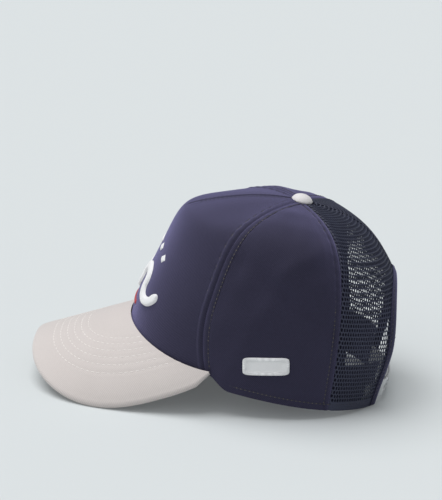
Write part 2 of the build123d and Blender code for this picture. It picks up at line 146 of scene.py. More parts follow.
def spline_weights(share, count):
    """Cubic B-spline weights with clamped ends."""
    spans = count - 3
    knots = [0.0] * 3 + [i / spans for i in range(spans + 1)] + [1.0] * 3
    share = min(share, 1.0 - 1e-9)
    weights = [1.0 if knots[i] <= share < knots[i + 1] else 0.0 for i in range(len(knots) - 1)]
    for degree in (1, 2, 3):
        raised = []
        for i in range(len(knots) - 1 - degree):
            left = knots[i + degree] - knots[i]
            right = knots[i + degree + 1] - knots[i + 1]
            value = (share - knots[i]) / left * weights[i] if left > 0 else 0.0
            value += (knots[i + degree + 1] - share) / right * weights[i + 1] if right > 0 else 0.0
            raised.append(value)
        weights = raised
    return weights


STEPS = 120
step_weights = [spline_weights(i / STEPS, len(FRONT_PROFILE)) for i in range(STEPS + 1)]
profile_cache = {}


def profile_at(key):
    """Radius, height and length up the wall at each step of one meridian, from the cache."""
    if key not in profile_cache:
        turn = abs(key / 4)
        turn = 360 - turn if turn > 180 else turn
        front = 1 - smooth(turn, *FRONT_FADE)
        back = smooth(turn, *BACK_FADE)
        side = 1 - front - back
        radius = outline_radius(turn)
        rows = []
        along = 0.0
        for weights in step_weights:
            r = 0.0
            n = 0.0
            for weight, ahead, aside, behind in zip(weights, FRONT_PROFILE, SIDE_PROFILE, BACK_PROFILE):
                r += weight * (front * ahead[0] + side * aside[0] + back * behind[0])
                n += weight * (front * ahead[1] + side * aside[1] + back * behind[1])
            r *= radius
            n *= CROWN_HEIGHT
            if rows:
                along += math.hypot(r - rows[-1][0], n - rows[-1][1])
            rows.append((r, n, along))
        profile_cache[key] = rows
    return profile_cache[key]


def meridian(angle, share):
    """Radius, height and length up the wall, in mm, at an angle and a share of the way up."""
    key = math.floor(angle * 4)
    part = angle * 4 - key
    place = min(max(share, 0.0), 1.0) * STEPS
    low = min(int(place), STEPS - 1)
    rest = place - low
    values = []
    one = profile_at(key)
    two = profile_at(key + 1)
    for i in range(3):
        a = one[low][i] + (one[low + 1][i] - one[low][i]) * rest
        b = two[low][i] + (two[low + 1][i] - two[low][i]) * rest
        values.append(a + (b - a) * part)
    return values


def share_at(angle, target, what):
    """Share up a meridian where its radius (0), height (1) or length (2) reaches a target."""
    low = 0.0
    high = 1.0
    for _ in range(16):
        middle = (low + high) / 2
        value = meridian(angle, middle)[what]
        if (value > target) if what == 0 else (value < target):
            low = middle
        else:
            high = middle
    return (low + high) / 2


def wall_place(angle, share):
    radius, height, _ = meridian(angle, share)
    turn = math.radians(angle)
    return Vector((radius * math.sin(turn), -radius * math.cos(turn), height))


def wall(angle, share, out=0.0):
    """Point on the crown's wall in mm, stood out from it by a length, and the wall's normal."""
    here = wall_place(angle, share)
    up = wall_place(angle, min(share + 0.006, 0.999)) - wall_place(angle, max(share - 0.006, 0.0))
    across = wall_place(angle + 0.5, share) - wall_place(angle - 0.5, share)
    normal = across.cross(up).normalized()
    return here + normal * out, normal


VISOR_REACH = 66.0
VISOR_RADIUS = 89.8
VISOR_SLOPE = 29.9
VISOR_RISE = 14.3
VISOR_HALF = 1.76


def visor_height(x, y):
    """Height of the visor's middle layer over a place in plan."""
    fall = math.tan(math.radians(VISOR_SLOPE)) * (-CROWN_FRONT - y)
    return VISOR_RISE - fall - VISOR_RADIUS + math.sqrt(VISOR_RADIUS ** 2 - x * x)


def edge_height(angle):
    """Height of the crown's bottom edge: level with the visor's underside at the front."""
    turn = abs(angle)
    last = FRONT_SEAM_FOOT + 12
    if turn >= last:
        return 0.0
    radius = outline_radius(turn)
    over = visor_height(radius * math.sin(math.radians(turn)), -radius * math.cos(math.radians(turn)))
    return max((1 - smooth(turn, FRONT_SEAM_FOOT - 2, last)) * (over - VISOR_HALF), 0.0)


def front_seam(height):
    lean = max(1 - height / FRONT_SEAM_BEND, 0.0)
    return FRONT_SEAM_TOP + (FRONT_SEAM_FOOT - FRONT_SEAM_TOP) * lean * lean


def back_seam(height):
    return BACK_SEAM_FOOT + (BACK_SEAM_TOP - BACK_SEAM_FOOT) * height / CROWN_HEIGHT


def make_piece(name, points, faces, uvs=None, body="crown"):
    """Object from points in the crown's own mm and lists of corners, with its place in its mesh."""
    mesh = bpy.data.meshes.new(name)
    mesh.from_pydata([cap_frame @ p for p in points], [], faces)
    if uvs:
        layer = mesh.uv_layers.new(name="cloth")
        for loop in mesh.loops:
            layer.data[loop.index].uv = uvs[loop.vertex_index]
    mesh.update()
    piece = bpy.data.objects.new(name, mesh)
    bpy.context.collection.objects.link(piece)
    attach(piece, body)
    return piece


def grid_faces(rows, columns, close=False):
    faces = []
    for j in range(rows - 1):
        for i in range(columns if close else columns - 1):
            k = (i + 1) % columns
            faces.append((j * columns + i, j * columns + k, (j + 1) * columns + k, (j + 1) * columns + i))
    return faces


def area_of(piece):
    return sum(face.area for face in piece.data.polygons)


def finish_mesh(piece, thickness=0.0, bevel=0.0, outwards=False):
    """Merges doubles, turns a closed shape's faces outwards, gives cloth its thickness and rounds
    its cut edges.
    """
    bpy.ops.object.select_all(action="DESELECT")
    piece.select_set(True)
    bpy.context.view_layer.objects.active = piece
    bpy.ops.object.mode_set(mode="EDIT")
    bpy.ops.mesh.select_all(action="SELECT")
    bpy.ops.mesh.remove_doubles(threshold=0.004 * MM)
    bpy.ops.mesh.dissolve_degenerate(threshold=0.002 * MM)
    if outwards:
        bpy.ops.mesh.normals_make_consistent(inside=False)
    bpy.ops.object.mode_set(mode="OBJECT")
    if thickness:
        maker = piece.modifiers.new("thickness", "SOLIDIFY")
        maker.thickness = thickness * MM
        maker.offset = -1.0
        bpy.ops.object.modifier_apply(modifier=maker.name)
    if bevel:
        maker = piece.modifiers.new("rounding", "BEVEL")
        maker.width = bevel * MM
        maker.segments = 2
        maker.limit_method = "ANGLE"
        maker.angle_limit = math.radians(60)
        bpy.ops.object.modifier_apply(modifier=maker.name)
    bpy.ops.object.shade_smooth_by_angle(angle=math.radians(50))
    bpy.ops.object.select_all(action="DESELECT")


STITCH_GAP = 4.2        # from a seam to the stitch row beside it, mm
HEM_ROW = 4.8
APEX_HOLE = 4.0
DART_FOOT = 107.5


def bell(value, middle, width):
    return math.exp(-(((value - middle) / width) ** 2))


def seam_relief(distance, along, proud):
    """How far cloth stands out beside a seam: down into it, up over the layers behind, puckered."""
    pucker = 0.16 * math.sin(along * math.tau / 8.6) * bell(distance, STITCH_GAP, 2.2)
    return (-0.55 * bell(distance, 0, 0.8) + proud * bell(distance, 2.8, 2.2) + pucker
            - 0.3 * bell(distance, STITCH_GAP + 0.4, 0.8))


def dent(spot, seed, size):
    """Soft unevenness of unfilled cloth."""
    broad = noise.noise(spot * 0.021 + Vector((seed, 0, 0)))
    narrow = noise.noise(spot * 0.06 + Vector((0, seed, 0)))
    return size * (broad + 0.35 * narrow)


def foot_of(angle, lift=0.0):
    height = edge_height(angle) + lift
    return share_at(angle, height, 1) if height > 0 else 0.0


def apex_of(angle):
    return share_at(angle, APEX_HOLE, 0)


def wall_sheet(name, node, ends, limits, counts, relief, thickness, flip=False, bevel=0.0):
    """Cloth on the crown's wall, between two seams and two shares of the way up.

    ends gives the angle of either seam at a height; limits the share at an angle; relief the
    distance out of the wall from the lengths to either seam, up the wall and up from the foot.
    """
    start, end = ends
    across, along = counts
    columns = []
    for i in range(across):
        # columns crowd towards the seams, where the relief is
        u = i / (across - 1)
        u -= 0.5 * math.sin(math.tau * u) / math.tau
        guess = start(0) + (end(0) - start(0)) * u
        columns.append((u, guess, limits[0](guess), limits[1](guess)))
    points = []
    uvs = []
    for j in range(along):
        for u, guess, foot, top in columns:
            share = foot + (top - foot) * j / (along - 1)
            height = meridian(guess, share)[1]
            angle = start(height) + (end(height) - start(height)) * u
            radius, height, length = meridian(angle, share)
            left = (angle - start(height)) * math.radians(1) * radius
            right = (end(height) - angle) * math.radians(1) * radius
            spot, normal = wall(angle, share)
            hem = length - meridian(angle, foot)[2]
            points.append(spot + normal * relief(left, right, length, hem, spot))
            uvs.append(((left - right) / 2, length))
    faces = grid_faces(along, across)
    piece = make_piece(name, points, [face[::-1] for face in faces] if flip else faces, uvs)
    area = area_of(piece)
    finish_mesh(piece, thickness, bevel)
    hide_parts(node)
    return piece, area


def declare_sheet(piece, material):
    piece.data.materials.append(material)


def front_relief(left, right, length, hem, spot):
    beside = abs(left - right) / 2
    near = min(left, right)
    dart = smooth(spot.z, DART_FOOT - 9, DART_FOOT)
    return (seam_relief(near, length, 0.6) + dent(spot, 3.1, 0.35) * min(near / 9, 1)
            - dart * (0.8 * bell(beside, 0, 0.9) - 0.35 * bell(beside, 2.2, 1.2)))


def side_relief(left, right, length, hem, spot):
    near = min(left, right)
    fold = (2.2 * bell(spot.z - 0.6 * spot.y, 98, 8) * bell(spot.y, 8, 15)
            - 1.2 * bell(spot.z + 0.5 * spot.y, 78, 8) + 0.8 * bell(spot.y - 0.3 * spot.z, -30, 7))
    hem_line = 0.25 * bell(hem, 2.4, 1.6) - 0.3 * bell(hem, HEM_ROW, 0.8)
    slack = dent(spot, 7.3, 2.4) * smooth(spot.z, 34, 58) + fold
    return seam_relief(near, length, 0.15) + slack * min(near / 12, 1) + hem_line


def mirrored(seam):
    return lambda height: -seam(height)


class Sock:
    """A node's output, or a number, with arithmetic that adds Math nodes."""

    def __init__(self, tree, link):
        self.tree = tree
        self.link = link

    def math(self, operation, *others):
        node = self.tree.nodes.new("ShaderNodeMath")
        node.operation = operation
        for slot, value in zip(node.inputs, (self, *others)):
            if isinstance(value, Sock):
                self.tree.links.new(value.link, slot)
            else:
                slot.default_value = value
        return Sock(self.tree, node.outputs[0])

    def __add__(self, other):
        return self.math("ADD", other)

    def __mul__(self, other):
        return self.math("MULTIPLY", other)

    def __sub__(self, other):
        return self.math("SUBTRACT", other)

    def __rsub__(self, other):
        return (self * -1.0).math("ADD", other)

    __radd__ = __add__
    __rmul__ = __mul__


class Finish:
    """A material on a Principled shader, with one method that adds any other node."""

    def __init__(self, name, **constants):
        self.material = bpy.data.materials.new(name)
        self.material.use_nodes = True
        self.tree = self.material.node_tree
        self.shader = self.tree.nodes["Principled BSDF"]
        for slot, value in constants.items():
            self.shader.inputs[slot.replace("_", " ")].default_value = value

    def node(self, kind, settings=None, output=0, **slots):
        made = self.tree.nodes.new(kind)
        for key, value in (settings or {}).items():
            if key == "stops":
                ramp = made.color_ramp
                while len(ramp.elements) < len(value):
                    ramp.elements.new(0.5)
                for element, (place, colour) in zip(ramp.elements, value):
                    element.position = place
                    element.color = colour
            else:
                setattr(made, key, value)
        for slot, value in slots.items():
            numbered = slot[0] == "i" and slot[1:].isdigit()
            socket = made.inputs[int(slot[1:]) if numbered else slot]
            if isinstance(value, Sock):
                self.tree.links.new(value.link, socket)
            else:
                socket.default_value = value
        return Sock(self.tree, made.outputs[output])

    def mix(self, factor, one, two):
        return self.node("ShaderNodeMix", {"data_type": "RGBA"}, 2, i0=factor, i6=(*one, 1.0),
                         i7=(*two, 1.0))

    def feed(self, slot, value):
        self.tree.links.new(value.link, self.shader.inputs[slot])

    def bump(self, height, strength, distance):
        self.feed("Normal", self.node("ShaderNodeBump", Height=height, Strength=strength,
                                      Distance=distance))

    def clouds(self, scale, detail):
        """Cloudy noise from 0 to 1 on the piece's Object coordinates."""
        spot = self.node("ShaderNodeTexCoord", None, 3)
        return self.node("ShaderNodeTexNoise", Vector=spot, Scale=scale, Detail=detail)

    def cloth(self, axis):
        """Distance in mm along one axis of the cloth's own UVs."""
        uv = self.node("ShaderNodeUVMap", {"uv_map": "cloth"})
        return self.node("ShaderNodeSeparateXYZ", None, axis, Vector=uv)

    def diagonal(self, slope):
        """Distances in mm across and along a diagonal drawn on the cloth."""
        u = self.cloth(0)
        v = self.cloth(1)
        turn = math.radians(slope)
        return u * math.sin(turn) - v * math.cos(turn), u * math.cos(turn) + v * math.sin(turn)


def wave_of(value, pitch):
    """From 0 to 1 and back once in each pitch."""
    return (value * (math.tau / pitch)).math("SINE") * 0.5 + 0.5


def twill_finish(name, dark, light, ridge_pitch, slope, fuzz, relief):
    """Twill: diagonal ribs crossed by fine yarns, slow shade changes, and a little lint."""
    tint = [min(channel / light[2], 1.0) for channel in light] + [1.0]
    finish = Finish(name, Sheen_Weight=fuzz, Sheen_Roughness=0.5, Sheen_Tint=tint,
                    Specular_IOR_Level=0.2)
    across, along = finish.diagonal(slope)
    broad = finish.clouds(22.0, 3.0)
    fine = finish.clouds(900.0, 2.0)
    wander = finish.clouds(120.0, 1.0)
    rib = wave_of(across + wander * 0.35, ridge_pitch)
    yarn = wave_of(along, ridge_pitch * 0.8)
    weave = rib * 0.7 + yarn * rib * 0.3
    shade = weave * 0.5 + broad * 0.35 + fine * 0.35 - 0.1
    finish.feed("Base Color", finish.mix(shade, dark, light))
    finish.feed("Roughness", broad * 0.12 + 0.78)
    finish.bump(weave + fine * 0.4, 0.55, relief)
    return finish.material


NAVY_DARK = (0.0085, 0.0075, 0.0165)
NAVY_LIGHT = (0.032, 0.030, 0.058)
navy_twill = twill_finish("navy_twill", NAVY_DARK, NAVY_LIGHT, 0.95, 52, 0.6, 0.00022)

front_panel, front_area = wall_sheet(
    "front_panel_cloth", "front_panel", (mirrored(front_seam), front_seam), (foot_of, apex_of),
    (121, 90), front_relief, TWILL)
declare_sheet(front_panel, navy_twill)
for name, ends in (("side_panel_left", (front_seam, back_seam)),
                   ("side_panel_right", (mirrored(back_seam), mirrored(front_seam)))):
    panel, panel_area = wall_sheet(f"{name}_cloth", name, ends, (foot_of, apex_of), (71, 90),
                                   side_relief, TWILL)
    declare_sheet(panel, navy_twill)

# ---- Buckram behind the front panel ------------------------------------------------------------
# Stiffened open gauze, fused and sewn in behind the front panel so that it stands up on its own.
LAYER_GAP = 0.06
BUCKRAM = 0.7
TAPE_DEPTH = 1.98
TAPE = 0.5
TAPE_WIDTH = 16.0
MEETING = 6 * TAPE_WIDTH / math.tau + 1
CENTRE_TAPE_FOOT = 93.3
DART_TAPE_WIDTH = 9.0


def shifted(seam, offset):
    """A seam moved sideways by a length round the crown."""
    def moved(height):
        angle = seam(height)
        at = share_at(angle, min(height, CROWN_HEIGHT * 0.97), 1)
        return angle + math.degrees(offset / max(meridian(angle, at)[0], 12.0))
    return moved


def short_of_button(radius):
    return lambda angle: share_at(angle, radius, 0)


def lifted(lift):
    return lambda angle: foot_of(angle, lift)


gauze = twill_finish("buckram_gauze", (0.30, 0.29, 0.27), (0.62, 0.60, 0.56), 1.1, 90, 0.1, 0.00012)
inset = shifted(front_seam, -TAPE_WIDTH / 4)
stiffener, stiffener_area = wall_sheet(
    "front_stiffener_cloth", "front_stiffener", (mirrored(inset), inset),
    (lifted(1.0), short_of_button(3 * APEX_HOLE)), (61, 60),
    lambda left, right, length, hem, spot: -TWILL - LAYER_GAP - BUCKRAM - 0.05, BUCKRAM, flip=True)
declare_sheet(stiffener, gauze)

# ---- Seam tapes --------------------------------------------------------------------------------
# Flat woven tapes sewn over the raw seams inside the crown, and a narrow one over the top dart.
# They puff between their two stitch rows.
navy_tape = twill_finish("navy_tape", (0.012, 0.012, 0.024), (0.030, 0.029, 0.056), 1.3, 45, 0.3, 0.0001)


def tape_relief(left, right, length, hem, spot):
    near = min(left, right)
    puff = 0.35 * bell(near, 6.0, 3.5) - 0.2 * bell(near, 1.8, 0.5)
    return -TAPE_DEPTH - TAPE - puff - 0.08 * math.sin(length * math.tau / 6.5)


def still(angle):
    return lambda height: angle


for name, seam, width, foot in (
        ("seam_tape_front_left", front_seam, TAPE_WIDTH, lifted(1.0)),
        ("seam_tape_front_right", mirrored(front_seam), TAPE_WIDTH, lifted(1.0)),
        ("seam_tape_back_left", back_seam, TAPE_WIDTH, lifted(1.0)),
        ("seam_tape_back_right", mirrored(back_seam), TAPE_WIDTH, lifted(1.0)),
        ("seam_tape_centre_back", still(180.0), TAPE_WIDTH,
         lambda angle: share_at(angle, CENTRE_TAPE_FOOT, 1)),
        ("seam_tape_top_dart", still(0.0), DART_TAPE_WIDTH, lambda angle: share_at(angle, DART_FOOT, 1))):
    tape, tape_area = wall_sheet(f"{name}_cloth", name,
                                 (shifted(seam, -width / 2), shifted(seam, width / 2)),
                                 (foot, short_of_button(MEETING)), (13, 50), tape_relief, TAPE, flip=True)
    declare_sheet(tape, navy_tape)

# ---- Mesh panels -------------------------------------------------------------------------------
# Polyester net: rows of thread run round the head, with six-sided holes staggered from row to row.
# It is cut away for the rear opening, under the binding.
HOLE_PITCH = 2.0
ROW_PITCH = 3.15
BAND = 0.78             # thread between two rows of holes
NET = 0.55
HOLE_BULGE = 0.26
HEM_ROWS = 2            # rows left closed at the foot, where the sweatband is sewn on
ARCH_RADIUS = 37.0
ARCH_SPRING = 51.0
FLARE = 4.5
NET_MIDDLE = 153.5      # angle of the middle column, whose spacing is set at this radius
NET_RADIUS = 92.0
CENTRE_SEAM = 179.92


def in_arch(point, grow=0.0):
    aside = abs(point.x)
    if point.z < ARCH_SPRING:
        return aside < ARCH_RADIUS + grow
    return math.hypot(aside, point.z - ARCH_SPRING) < ARCH_RADIUS + grow


def flare(point):
    """How far the rear opening's edge stands out of the crown's line, pulled by the closure."""
    beyond = math.hypot(abs(point.x), max(point.z - ARCH_SPRING, 0.0)) - ARCH_RADIUS
    return FLARE * (1 - smooth(beyond, 0, 26)) * bell(point.z, 56, 30) if point.y > 0 else 0.0


def net_mesh():
    """Points, faces and UVs of the left panel's net."""
    half = HOLE_PITCH / 2
    columns = 100
    periods = 56
    angles = [min(max(NET_MIDDLE + math.degrees((k - columns / 2) * half / NET_RADIUS),
                      BACK_SEAM_FOOT - 1), 180) for k in range(columns)]
    points = []
    uvs = []
    pinned = []
    for m in range(periods):
        for row, (rise, bulge, out) in enumerate(((0.0, 0.0, 0.0), (BAND / 2, 0.0, 0.2), (BAND, 0.0, 0.0),
                                                  ((BAND + ROW_PITCH) / 2, HOLE_BULGE, -0.05))):
            below = m - 1 if row == 0 else m
            for k in range(columns):
                toward = 1 if (k + below) % 2 == 0 else -1
                across = (k - columns / 2) * half + toward * bulge
                along = m * ROW_PITCH + rise
                share = share_at(angles[k], along, 2)
                top = share_at(angles[k], 5.0, 0)
                pin = 3 if share >= top else 0
                share = min(share, top)
                radius, height, _ = meridian(angles[k], share)
                seam = back_seam(height)
                angle = (seam + 180) / 2 + math.degrees(across / radius)
                if angle <= seam:
                    pin = 1
                elif angle >= CENTRE_SEAM:
                    pin = 2
                angle = min(max(angle, seam), CENTRE_SEAM)
                angles[k] = angle
                side = min(angle - seam, 180 - angle) * math.radians(1) * radius
                sink = 0.9 * bell(side, 0, 1.2) - 0.3 * bell(side, 3.0, 1.6)
                place, _ = wall(angle, share, out - sink + flare(wall_place(angle, share)))
                points.append(place)
                uvs.append((across, along))
                pinned.append(pin)
    faces = []
    for i, corners in enumerate(grid_faces(4 * periods, columns)):
        j, k = divmod(i, columns - 1)
        m, row = divmod(j, 4)
        # a hole takes two rows of quads, and every other column
        hole = row >= 2 and (k + m) % 2 == 1 and m >= HEM_ROWS
        pins = {pinned[corner] for corner in corners}
        collapsed = len(pins) == 1 and 0 not in pins
        if not (hole or collapsed or any(in_arch(points[corner]) for corner in corners)):
            faces.append(corners)
    return points, faces, uvs


net_finish = Finish("navy_net", Specular_IOR_Level=0.35)
net_fuzz = net_finish.clouds(1400.0, 2.0)
net_tone = net_finish.clouds(60.0, 1.0)
net_finish.feed("Base Color", net_finish.mix(net_fuzz * 0.7 + net_tone * 0.4 - 0.05,
                                             (0.015, 0.017, 0.032), (0.052, 0.058, 0.100)))
net_finish.feed("Roughness", net_tone * 0.2 + 0.5)
net_finish.bump(net_fuzz, 0.5, 0.0001)

net_points, net_faces, net_uvs = net_mesh()
for side, name in ((1, "mesh_panel_left"), (-1, "mesh_panel_right")):
    placed = [Vector((side * p.x, p.y, p.z)) for p in net_points]
    net = make_piece(f"{name}_net", placed, net_faces if side == 1 else [f[::-1] for f in net_faces],
                     net_uvs)
    finish_mesh(net, NET)
    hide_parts(name)
    declare_sheet(net, net_finish.material)

# ---- Arch binding ------------------------------------------------------------------------------
# Navy tape folded over the net's cut edge round the rear opening, and sewn through.
BINDING_SECTION = [(5.3, 0.72), (4.7, 1.0), (3.9, 0.86), (3.2, 1.05), (1.8, 1.15), (0.5, 1.1),
                   (-0.5, 0.7), (-0.95, -0.5), (-0.5, -1.65), (0.5, -2.0), (1.8, -2.05), (3.2, -2.0),
                   (3.9, -1.85), (4.7, -1.95), (5.3, -1.72)]
BINDING = 0.75
BINDING_ROW = 3.9       # from the edge to the stitch row
BINDING_FOOT = 1.0
WALK_STEP = 2.0


def back_place(aside, height, out):
    """Point on the wall behind the head, at a distance aside and a height."""
    angle = 180.0
    for _ in range(4):
        share = share_at(angle, height, 1)
        radius = meridian(angle, share)[0]
        angle = 180 - math.degrees(math.asin(max(min(aside / radius, 1), -1)))
    return wall(angle, share, out + flare(wall_place(angle, share)))


def arch_walk(step):
    """Places along the rear opening's edge with the direction away from it, from left to right."""
    walk = []
    climb = ARCH_SPRING - BINDING_FOOT
    rise = int(climb / step)
    for i in range(rise):
        walk.append((ARCH_RADIUS, BINDING_FOOT + climb * i / rise, 1.0, 0.0))
    turns = int(math.pi * ARCH_RADIUS / step)
    for i in range(turns + 1):
        turn = math.pi * i / turns
        walk.append((ARCH_RADIUS * math.cos(turn), ARCH_SPRING + ARCH_RADIUS * math.sin(turn),
                     math.cos(turn), math.sin(turn)))
    for x, z, away_x, away_z in walk[:rise][::-1]:
        walk.append((-x, z, -away_x, away_z))
    return walk


binding_points = []
binding_uvs = []
binding_row = []
edge_walk = arch_walk(WALK_STEP)
for i, (x, z, away_x, away_z) in enumerate(edge_walk):
    wrinkle = 0.1 * math.sin(i * 1.9) + 0.06 * math.sin(i * 0.73)
    for j, (reach, out) in enumerate(BINDING_SECTION):
        place, _ = back_place(x + away_x * reach, max(z + away_z * reach, BINDING_FOOT),
                              out + wrinkle * bell(reach, 2.0, 1.4) * (1 if out > 0 else -1))
        binding_points.append(place)
        binding_uvs.append((i * WALK_STEP, j * 1.2))
    binding_row.append(back_place(x + away_x * BINDING_ROW,
                                  max(z + away_z * BINDING_ROW, BINDING_FOOT), 0.92))
arch_binding = make_piece("arch_binding_cloth", binding_points,
                          grid_faces(len(edge_walk), len(BINDING_SECTION)), binding_uvs)
finish_mesh(arch_binding, BINDING)
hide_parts("arch_binding")
declare_sheet(arch_binding, navy_tape)

# ---- Sweatband ---------------------------------------------------------------------------------
# Navy cotton folded over a soft filling, sewn inside the bottom edge from one corner of the rear
# opening round to the other. Its upper edge is free, with a row of stitches under it.
BAND_DEPTH = 3.6
BAND_THICKNESS = 1.5
BAND_HEIGHT = 34.0
BAND_END = 156.1


def band_relief(left, right, length, hem, spot):
    wave = 0.25 * noise.noise(spot * 0.05) * smooth(hem, 4, 20)
    return -BAND_DEPTH - BAND_THICKNESS - wave - 0.35 * (bell(hem, 26, 7) - bell(hem, 30.5, 0.9))


band_cloth = twill_finish("sweatband_cloth", (0.012, 0.012, 0.022), (0.034, 0.033, 0.056),
                          0.9, 30, 0.7, 0.00010)
band, band_area = wall_sheet(
    "sweatband_cloth", "sweatband", (still(-BAND_END), still(BAND_END)),
    (lifted(1.0), lifted(BAND_HEIGHT)), (241, 24), band_relief, BAND_THICKNESS, flip=True, bevel=0.6)
declare_sheet(band, band_cloth)

# ---- Visor board -------------------------------------------------------------------------------
# Moulded plastic board inside the visor, wholly covered by its two covers.
def plain_finish(name, dark, light, roughness, scale, relief, **constants):
    """Moulded or pressed surface with slow shade changes and fine grain."""
    finish = Finish(name, **constants)
    broad = finish.clouds(scale, 3.0)
    fine = finish.clouds(scale * 14, 2.0)
    finish.feed("Base Color", finish.mix(broad * 0.8 + fine * 0.2, dark, light))
    finish.feed("Roughness", broad * 0.2 + roughness)
    finish.bump(fine, 0.3, relief)
    return finish.material


def dress(node, material):
    """Gives a CAD node a material of its own."""
    solid = frame["nodes"][node]
    solid.data.materials.clear()
    solid.data.materials.append(material)


dress("visor_board", plain_finish("board_plastic", (0.55, 0.55, 0.53), (0.68, 0.68, 0.66),
                                  0.45, 40.0, 0.00005))

# ---- Visor covers ------------------------------------------------------------------------------
# Stone cotton twill over the board, above and below, joined round its edge and quilted through
# with six rows of light thread.
VISOR_SQUARENESS = 2.55
VISOR_SHOULDER = 32.0
VISOR_TIP = 3.6
COVER = 0.7
TIP_POINT = 2.2         # degrees before the seam in which the visor runs out
TOP_RISE = 1.76
FIRST_ROW = 14.0        # from the edge to the outer stitch row
ROW_SPACING = 4.6
ROW_COUNT = 6
VISOR_RIM = [(1.3, 1.76), (0.6, 1.52), (0.15, 0.95), (0.0, 0.12)]

tip_radius = outline_radius(FRONT_SEAM_FOOT) + VISOR_TIP
visor_middle = -tip_radius * math.cos(math.radians(FRONT_SEAM_FOOT)) - VISOR_SHOULDER
visor_length = CROWN_FRONT + VISOR_REACH + visor_middle
tip_behind = -VISOR_SHOULDER / visor_length
tip_aside = (1 - abs(tip_behind) ** VISOR_SQUARENESS) ** (1 / VISOR_SQUARENESS)
half_width = tip_radius * math.sin(math.radians(FRONT_SEAM_FOOT)) / tip_aside


def visor_edge(angle, inset):
    """Place in plan on the visor's outline drawn in by a length."""
    turn = angle / FRONT_SEAM_FOOT * math.atan2(tip_aside, tip_behind)
    ahead = math.cos(turn)
    across = math.sin(turn)
    power = VISOR_SQUARENESS
    radius = (abs(ahead) ** power + abs(across) ** power) ** (-1 / power)
    return Vector(((half_width - inset) * radius * across,
                   visor_middle - (visor_length - inset) * radius * ahead))


def on_visor(plan, rise):
    """Point over a place in plan, and the direction out of the visor's upper side."""
    x, y = plan
    slope = math.tan(math.radians(VISOR_SLOPE))
    normal = Vector((x / math.sqrt(VISOR_RADIUS ** 2 - x * x), -slope, 1)).normalized()
    return Vector((x, y, visor_height(x, y))) + normal * rise, normal


def inset_of(plan):
    """How far a place in plan lies in from the visor's outline."""
    low = -1.0
    high = 70.0
    for _ in range(14):
        middle = (low + high) / 2
        x = abs(plan.x) / max(half_width - middle, 0.1)
        y = abs(plan.y - visor_middle) / max(visor_length - middle, 0.1)
        if x ** VISOR_SQUARENESS + y ** VISOR_SQUARENESS < 1:
            low = middle
        else:
            high = middle
    return (low + high) / 2


def quilting(inset):
    """Rise of the cloth between the stitch rows and fall at them."""
    place = (inset - FIRST_ROW) / ROW_SPACING
    if place < -0.5 or place > ROW_COUNT - 0.5:
        return 0.12 * (1 - smooth(inset, 6, FIRST_ROW)) * smooth(inset, 1, 5)
    return -0.26 * bell(place - round(place), 0, 0.17) + 0.06


def visor_cover(name, node, side):
    limit = FRONT_SEAM_FOOT - 0.2
    across = 141
    along = 68
    points = []
    uvs = []
    for i in range(across):
        angle = -limit + 2 * limit * i / (across - 1)
        root = outline_radius(angle) + 0.2
        inner = Vector((root * math.sin(math.radians(angle)), -root * math.cos(math.radians(angle))))
        outer = visor_edge(angle, VISOR_RIM[0][0])
        taper = smooth(FRONT_SEAM_FOOT - abs(angle), 0.0, 6.0)
        point = smooth(abs(angle), FRONT_SEAM_FOOT - TIP_POINT, FRONT_SEAM_FOOT)
        for j in range(along):
            plan = inner.lerp(outer.lerp(inner, 0.9 * point), j / (along - 1))
            rise = TOP_RISE + quilting(inset_of(plan)) * taper
            place, _ = on_visor(plan, side * rise)
            points.append(place)
            uvs.append((plan.x, plan.y))
        for inset, rise in VISOR_RIM[1:]:
            plan = visor_edge(angle, inset).lerp(inner, 0.9 * point)
            place, _ = on_visor(plan, side * rise)
            points.append(place)
            uvs.append((plan.x, plan.y))
    faces = grid_faces(across, along + len(VISOR_RIM) - 1)
    piece = make_piece(name, points, faces if side < 0 else [f[::-1] for f in faces], uvs)
    area = area_of(piece)
    finish_mesh(piece, COVER)
    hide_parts(node)
    return piece, area


stone_twill = twill_finish("stone_twill", (0.46, 0.415, 0.395), (0.62, 0.575, 0.555), 0.7, 50,
                           0.35, 0.00004)
for name, side in (("visor_top_cover", 1), ("visor_under_cover", -1)):
    cover, cover_area = visor_cover(f"{name}_cloth", name, side)
    declare_sheet(cover, stone_twill)

# ---- Stitching ---------------------------------------------------------------------------------
# Lockstitch rows beside the crown's seams, along its hem, round the binding and through the visor.
# Each stitch is a short loop of thread that dips into the cloth at either end, with a flat dark disc after it
# that is painted shade for the dimple there.
ROW_STEPS = 160
THREAD_LIFT = 0.42      # of the visor's thread above its cloth
VISOR_STITCH = {"pitch": 4.3, "length": 3.4, "radius": 0.3}


